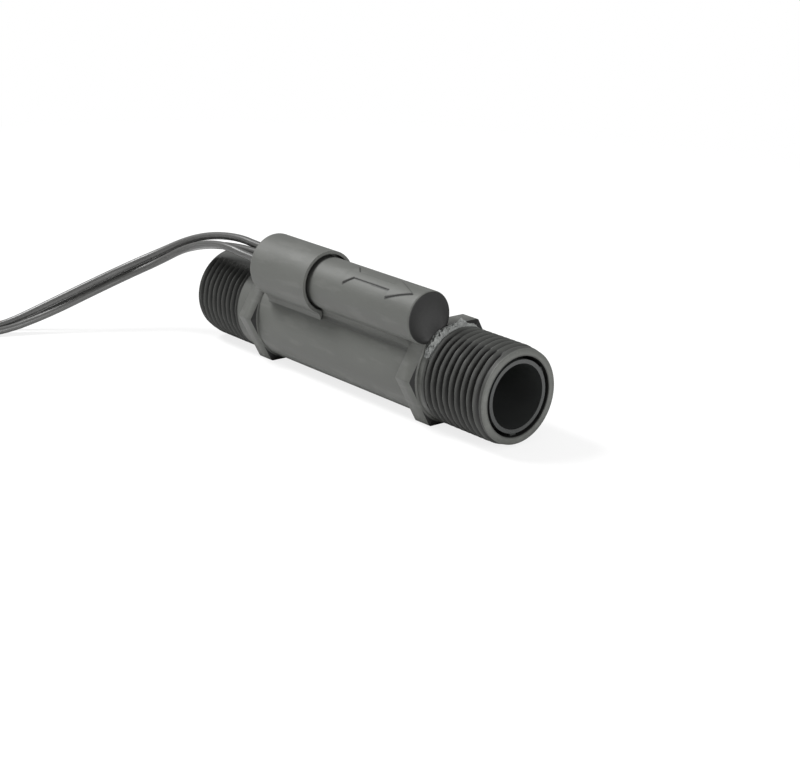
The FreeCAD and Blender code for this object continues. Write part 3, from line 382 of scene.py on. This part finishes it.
def arrowShade(shop, lines, fade, pod):
    # 1 away from the arrow's foot, painted shade along it; only on the pod's far side from the pipe
    x, y, z = shop.axes()
    tilt = math.radians(pod["tilt"])
    across = y * math.cos(tilt) + z * math.sin(tilt)
    up = z * math.cos(tilt) - y * math.sin(tilt)
    dark = None
    for start, end, width in lines.values():
        startX, startY = start[0] * mm, start[1] * mm
        runX, runY = end[0] * mm - startX, end[1] * mm - startY
        length = math.hypot(runX, runY)
        offX, offY = x - startX, across - startY
        share = offX * (runX / length ** 2) + offY * (runY / length ** 2)
        share = share.atLeast(0.0).atMost(1.0)
        missX, missY = offX - share * runX, offY - share * runY
        miss = (missX * missX + missY * missY).power(0.5)
        line = 1 - miss.above(width * mm, fade["soft"] * mm)
        dark = line if dark is None else dark.atLeast(line)
    return 1 - fade["strength"] * dark * up.above(pod["height"] * mm, fade["upSoft"] * mm)


def makeFinish(name, values):
    shop = Shop(name)
    cloudShare, roughSpread = grainValues["cloudShare"], grainValues["roughSpread"]
    cloud = shop.noise(values["cloud"], grainValues["cloudDetail"], values["stretch"])
    grain = shop.noise(values["grain"], grainValues["grainDetail"], values["stretch"])
    share = cloud * cloudShare + grain * (1 - cloudShare)
    colour = shop.blend(share, (*values["dark"], 1), (*values["light"], 1))
    height = grain
    if values.get("moulded"):
        flow = flowMarks
        marks = shop.noise(flow["scale"], flow["detail"], flow["stretch"])
        scuff = shop.noise(flow["scuff"], flow["scuffDetail"], flow["scuffStretch"])
        scuff = scuff.above(flow["scuffEdge"], flow["scuffSoft"])
        # painted shade on the threads, bore, hexagon corners, arrow's foot and cover's open end, times the
        # flow marks
        kept = zoneShade(shop, zoneValues) * arrowShade(shop, arrowShadeLines, arrowFade, podValues)
        kept = kept * coverShade(shop, coverShadowValues, podValues)
        kept = kept * (1 - flow["strength"] / 2 + flow["strength"] * marks)
        colour = shop.blend(scuff * flow["scuffLight"], colour, flow["scuffColour"])
        colour = shop.blend(kept, flow["shadeAndMarkBlack"], colour)
        height = grain * flow["grainHeight"] + marks * flow["height"]
    shop.feed(shop.surface, {
        "Base Color": colour,
        "Roughness": values["roughness"] - roughSpread / 2 + roughSpread * grain,
        "Metallic": values.get("metallic", 0.0),
        "Specular IOR Level": values.get("specular", 0.5),
        "Normal": shop.bump(height, values["bump"], values["depth"]),
    })
    return shop.material


glassValues = {"colour": (0.80, 0.90, 0.84, 1), "roughness": 0.04, "hazeRough": 0.05, "haze": 700,
               "hazeDetail": 2.0, "index": 1.5}


def makeGlass(values):
    shop = Shop("glass")
    haze = shop.noise(values["haze"], values["hazeDetail"])
    shop.feed(shop.surface, {"Base Color": values["colour"],
                             "Roughness": values["roughness"] + values["hazeRough"] * haze,
                             "Transmission Weight": 1.0, "IOR": values["index"]})
    return shop.material


materials = {name: makeFinish(name, values) for name, values in finishes.items()}
materials["glass"] = makeGlass(glassValues)


def paint(piece, slotName):
    piece.data.materials.clear()
    piece.data.materials.append(materials[slotName])


for entry in frame["record"]["subparts"]:
    paint(nodes[entry["node"]], entry["material_slot"])
for piece in leads.values():
    paint(piece, "lead_insulation")
print("materials made")

# threads

threadValues = {
    "pitch": 1.8143,
    "crest": 10.62,
    "root": 9.3,
    "flat": 0.08,  # share of the pitch that is flat at root and crest
    "leadCrest": 10.15,  # the blank is tapered near the end face
    "leadLength": 2.2,
    "outer": 13.0,
    "overshoot": 0.6,  # the cutter starts this far outside the end face
    "around": 120,
    "perPitch": 14,
    "flatMiddle": 2.0,  # bare strip along the mould line, degrees from straight up towards the pod
    "flatSoft": 6.0,
    "inlet": {"face": 0.0, "into": 1, "length": 16.0, "plain": 0.3, "fade": 0.5, "flatHalf": 29.0,
              "flatDepth": 1.0},
    "outlet": {"face": 99.4, "into": -1, "length": 17.6, "plain": 0.4, "fade": 1.9, "flatHalf": 16.0,
               "flatDepth": 0.6},
}


def threadRadius(x, angle, end, values):
    # tapered blank less the depth of a flat-topped triangle wave of the helix phase
    phase = (x / values["pitch"] - angle / (2 * math.pi)) % 1.0
    wave = np.abs(2 * phase - 1)
    flat = values["flat"]
    wave = np.clip((wave - flat) / (1 - 2 * flat), 0, 1)
    inward = (x - end["face"]) * end["into"]
    rise = np.clip(inward / values["leadLength"], 0, 1)
    blank = values["leadCrest"] + (values["crest"] - values["leadCrest"]) * rise
    begun = np.clip((inward - end["plain"]) / end["fade"], 0, 1)
    middle = math.radians(90 + values["flatMiddle"])
    away = np.degrees(np.abs((angle - middle + math.pi) % (2 * math.pi) - math.pi))
    bare = np.clip((end["flatHalf"] + values["flatSoft"] - away) / values["flatSoft"], 0, 1)
    share = begun * (1 - end["flatDepth"] * bare)
    return blank - (values["crest"] - values["root"]) * (1 - wave) * share


def threadCutter(name, values):
    # closed ring: thread surface inside, plain wall outside, worked out on one grid
    end = values[name]
    first = end["face"] - values["overshoot"] * end["into"]
    last = end["face"] + end["length"] * end["into"]
    low, high = min(first, last), max(first, last)
    along = np.linspace(low, high, int((high - low) / values["pitch"] * values["perPitch"]))
    angle = np.linspace(0, 2 * math.pi, values["around"], endpoint=False)
    x, turned = np.meshgrid(along, angle, indexing="ij")
    radius = threadRadius(x, turned, end, values)
    wallX = np.repeat([[high], [low]], len(angle), axis=1)
    x = np.vstack([x, wallX])
    turned = np.vstack([turned, np.tile(angle, (2, 1))])
    radius = np.vstack([radius, np.full(wallX.shape, values["outer"])])
    places = np.stack([x, radius * np.cos(turned), radius * np.sin(turned)], 2).reshape(-1, 3) * mm
    rows, columns = x.shape
    corner = np.arange(rows * columns).reshape(rows, columns)
    onward = np.roll(corner, -1, 0)
    faces = np.stack([corner, np.roll(corner, -1, 1), np.roll(onward, -1, 1), onward], 2).reshape(-1, 4)
    a, b, c = places[faces[:, 0]], places[faces[:, 1]], places[faces[:, 2]]
    d = places[faces[:, 3]]
    volume = (np.einsum("ij,ij->i", a, np.cross(b, c)) + np.einsum("ij,ij->i", a, np.cross(c, d))).sum()
    if volume < 0:
        faces = faces[:, ::-1]
    mesh = bpy.data.meshes.new(name + "ThreadCutter")
    mesh.from_pydata(places.tolist(), [], faces.tolist())
    cutter = bpy.data.objects.new(name + "ThreadCutter", mesh)
    bpy.context.scene.collection.objects.link(cutter)
    return cutter


shadeValues = {
    "weld": 0.000001,  # metres
    "sharp": 38.0,  # degrees
    "barrel": 10.6,
    "collar": 10.4,
    "within": 0.02,  # a corner this near a cylinder counts as on it
    "facing": 0.9,  # a face has to look out or in by this much
}


def mergedCopy(node, name, values):
    # a CAD node's mesh is loose triangles, so a copy is merged and the node left alone
    piece = bpy.data.objects.new(name, nodes[node].data.copy())
    bpy.context.scene.collection.objects.link(piece)
    weld = piece.modifiers.new("weld", "WELD")
    weld.merge_threshold = values["weld"]
    return piece


def settle(piece):
    # modifiers become the mesh itself
    view = bpy.context.evaluated_depsgraph_get()
    mesh = bpy.data.meshes.new_from_object(piece.evaluated_get(view))
    piece.modifiers.clear()
    piece.data = mesh


def roundNormals(piece, cylinders, values):
    # true normals on the round faces, whose triangles are too long to be shaded well by averaging
    mesh = piece.data
    corners = np.empty(len(mesh.loops), int)
    mesh.loops.foreach_get("vertex_index", corners)
    places = np.empty(len(mesh.vertices) * 3)
    mesh.vertices.foreach_get("co", places)
    places = places.reshape(-1, 3)
    normals = np.empty(len(mesh.loops) * 3)
    mesh.corner_normals.foreach_get("vector", normals)
    normals = normals.reshape(-1, 3)
    faceNormals = np.empty(len(mesh.polygons) * 3)
    mesh.polygons.foreach_get("normal", faceNormals)
    totals = np.empty(len(mesh.polygons), int)
    mesh.polygons.foreach_get("loop_total", totals)
    owner = np.repeat(np.arange(len(totals)), totals)
    faceNormals = faceNormals.reshape(-1, 3)[owner]
    for centreY, centreZ, radius in cylinders:
        out = places[corners] - np.array([0.0, centreY, centreZ]) * mm
        out[:, 0] = 0
        reach = np.linalg.norm(out, axis=1)
        out = out / np.maximum(reach, 1e-9)[:, None]
        near = np.abs(reach - radius * mm) < values["within"] * mm
        whole = np.bincount(owner, near) == totals
        facing = np.einsum("ij,ij->i", out, faceNormals)
        use = near & whole[owner] & (np.abs(facing) > values["facing"])
        normals[use] = out[use] * np.sign(facing[use])[:, None]
    mesh.normals_split_custom_set(normals.tolist())


def makeHousing(values, shade):
    piece = mergedCopy("housing", "threadedHousing", shade)
    cutters = [threadCutter(name, values) for name in ("inlet", "outlet")]
    for cutter in cutters:
        cut = piece.modifiers.new(cutter.name, "BOOLEAN")
        cut.operation = "DIFFERENCE"
        cut.solver = "EXACT"
        cut.object = cutter
    bpy.context.view_layer.update()
    settle(piece)
    for cutter in cutters:
        bpy.data.objects.remove(cutter)
    piece.data.shade_smooth()
    piece.data.set_sharp_from_angle(angle=math.radians(shade["sharp"]))
    onPod = [(*podAxis(podValues), podValues[name]) for name in ("tube", "arrow")]
    onPipe = [(0, 0, shade[name]) for name in ("barrel", "collar")]
    roundNormals(piece, onPod + onPipe, shade)
    paint(piece, "moulded_plastic")
    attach(piece, "switch_body")
    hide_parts("housing")
    return piece


housing = makeHousing(threadValues, shadeValues)
print("housing threaded,", len(housing.data.polygons), "faces")

flashValues = {
    "from": 79.6,  # mm along the pipe
    "to": 82.0,
    "base": 10.2,
    "crown": 10.9,
    "rough": 1.7,
    "first": -34.0,  # degrees from straight up towards the pod
    "last": 62.0,
    "steps": (52, 8),
    "seed": 4,
    "spikes": 2.2,  # higher makes fewer tall fragments
    "drag": 0.45,  # share of a row that repeats the one before
    "lumps": 14,  # slow rises along the strip
    "least": 0.35,
    "endRound": 0.5,
    "sideRound": 0.7,
    "jitter": 0.12,
    "depth": 0.4,  # the foot lies this far below the base
}


def makeFlash(values):
    # torn plastic left over the collar beside the outlet hexagon: a ragged top on a plain foot
    draw = np.random.default_rng(values["seed"])
    rows, columns = values["steps"]
    share = np.linspace(0, 1, rows)[:, None] * np.ones((1, columns))
    side = np.ones((rows, 1)) * np.linspace(0, 1, columns)[None, :]
    lumps = values["lumps"]
    ragged = draw.random((rows, columns)) ** values["spikes"]
    ragged[1:] = (1 - values["drag"]) * ragged[1:] + values["drag"] * ragged[:-1]
    coarse = np.interp(np.arange(rows), np.linspace(0, rows, lumps), draw.random(lumps))[:, None]
    window = np.sin(np.pi * share) ** values["endRound"] * np.sin(np.pi * side) ** values["sideRound"]
    above = values["crown"] - values["base"]
    top = values["base"] + (above + values["rough"] * ragged * (values["least"] + coarse)) * window
    angle = np.radians(90 + values["first"] + (values["last"] - values["first"]) * share)
    jitter = (draw.random((rows, columns)) - 0.5) * values["jitter"]
    x = values["from"] + (values["to"] - values["from"]) * side + jitter
    tops = np.stack([x, top * np.cos(angle), top * np.sin(angle)], 2)
    foot = values["base"] - values["depth"]
    feet = np.stack([x, foot * np.cos(angle), foot * np.sin(angle)], 2)
    places = np.concatenate([tops.reshape(-1, 3), feet.reshape(-1, 3)]) * mm
    corner = np.arange(rows * columns).reshape(rows, columns)
    cover = np.stack([corner[:-1, :-1], corner[1:, :-1], corner[1:, 1:], corner[:-1, 1:]], 2).reshape(-1, 4)
    rim = np.concatenate([corner[0], corner[1:, -1], corner[-1, -2::-1], corner[-2:0:-1, 0]])
    onward = np.roll(rim, -1)
    below = rows * columns
    walls = np.stack([rim, onward, onward + below, rim + below], 1)
    faces = np.concatenate([cover, cover[:, ::-1] + below, walls])
    mesh = bpy.data.meshes.new("flash")
    mesh.from_pydata(places.tolist(), [], faces.tolist())
    piece = bpy.data.objects.new("flash", mesh)
    bpy.context.scene.collection.objects.link(piece)
    paint(piece, "flash_plastic")
    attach(piece, "switch_body")
    return piece


makeFlash(flashValues)
print("flash made")

# floor and light

stageValues = {
    "floor": -10.8,
    "half": 3000.0,
    "floorColour": (0.9, 0.9, 0.9, 1),
    "floorRoughness": 0.9,
    "floorGlow": 0.80,  # share of the floor that is plain white to the camera, the rest takes the shadow
    "floorEnd": 330.0,  # the floor is all white from here on
    "floorFade": 0.3,  # half the share of that distance over which it turns white
    "worldStrength": 0.50,
    "aim": (50.0, 0.0, 0.0),
    "lamps": {
        "key": {"place": (-300.0, -230.0, 520.0), "size": 0.20, "power": 6.0},
        "fill": {"place": (620.0, -60.0, 170.0), "size": 0.3, "power": 3.0},
    },
}


def makeFloor(values):
    half = values["half"] * mm
    level = values["floor"] * mm
    mesh = bpy.data.meshes.new("floor")
    corners = [(x * half, y * half, level) for x, y in ((-1, -1), (1, -1), (1, 1), (-1, 1))]
    mesh.from_pydata(corners, [], [(0, 1, 2, 3)])
    floor = bpy.data.objects.new("floor", mesh)
    bpy.context.scene.collection.objects.link(floor)
    shop = Shop("floorFinish")
    shop.feed(shop.surface, {"Base Color": values["floorColour"],
                             "Roughness": values["floorRoughness"]})
    glow = shop.node("ShaderNodeEmission", {}, {"Color": (1, 1, 1, 1)})
    path = shop.node("ShaderNodeLightPath", {}, {})
    x, y = shop.axes()[:2]
    offX = x - values["aim"][0] * mm
    end, fade = values["floorEnd"] * mm, values["floorFade"]
    far = (offX * offX + y * y).power(0.5).above(end * (1 - fade), end * fade)
    seen = Value(shop, path.outputs["Is Camera Ray"]) * (far + values["floorGlow"] * (1 - far))
    mixed = shop.node("ShaderNodeMixShader", {}, {0: seen, 1: shop.surface.outputs[0], 2: glow.outputs[0]})
    shop.tree.links.new(mixed.outputs[0], shop.tree.nodes["Material Output"].inputs["Surface"])
    mesh.materials.append(shop.material)


def makeLamp(name, values, aim):
    data = bpy.data.lights.new(name, "AREA")
    data.size = values["size"]
    data.energy = values["power"]
    lamp = bpy.data.objects.new(name, data)
    where = Vector(values["place"]) * mm
    turn = (where - Vector(aim) * mm).to_track_quat("Z", "Y")
    lamp.matrix_world = Matrix.Translation(where) @ turn.to_matrix().to_4x4()
    bpy.context.scene.collection.objects.link(lamp)


def makeWorld(values):
    world = bpy.data.worlds.new("studio")
    bpy.context.scene.world = world
    world.use_nodes = True
    tree = world.node_tree
    back = tree.nodes["Background"]
    back.inputs["Color"].default_value = (1, 1, 1, 1)
    path = tree.nodes.new("ShaderNodeLightPath")
    seen = tree.nodes.new("ShaderNodeMath")
    seen.operation = "MAXIMUM"
    tree.links.new(path.outputs["Is Camera Ray"], seen.inputs[0])
    tree.links.new(path.outputs["Is Transmission Ray"], seen.inputs[1])
    strength = tree.nodes.new("ShaderNodeMapRange")
    strength.inputs["To Min"].default_value = values["worldStrength"]
    strength.inputs["To Max"].default_value = 1.0
    tree.links.new(seen.outputs[0], strength.inputs["Value"])
    tree.links.new(strength.outputs[0], back.inputs["Strength"])


makeFloor(stageValues)
for name, lamp in stageValues["lamps"].items():
    makeLamp(name, lamp, stageValues["aim"])
makeWorld(stageValues)
bpy.context.scene.view_settings.view_transform = "Standard"
print("stage set")
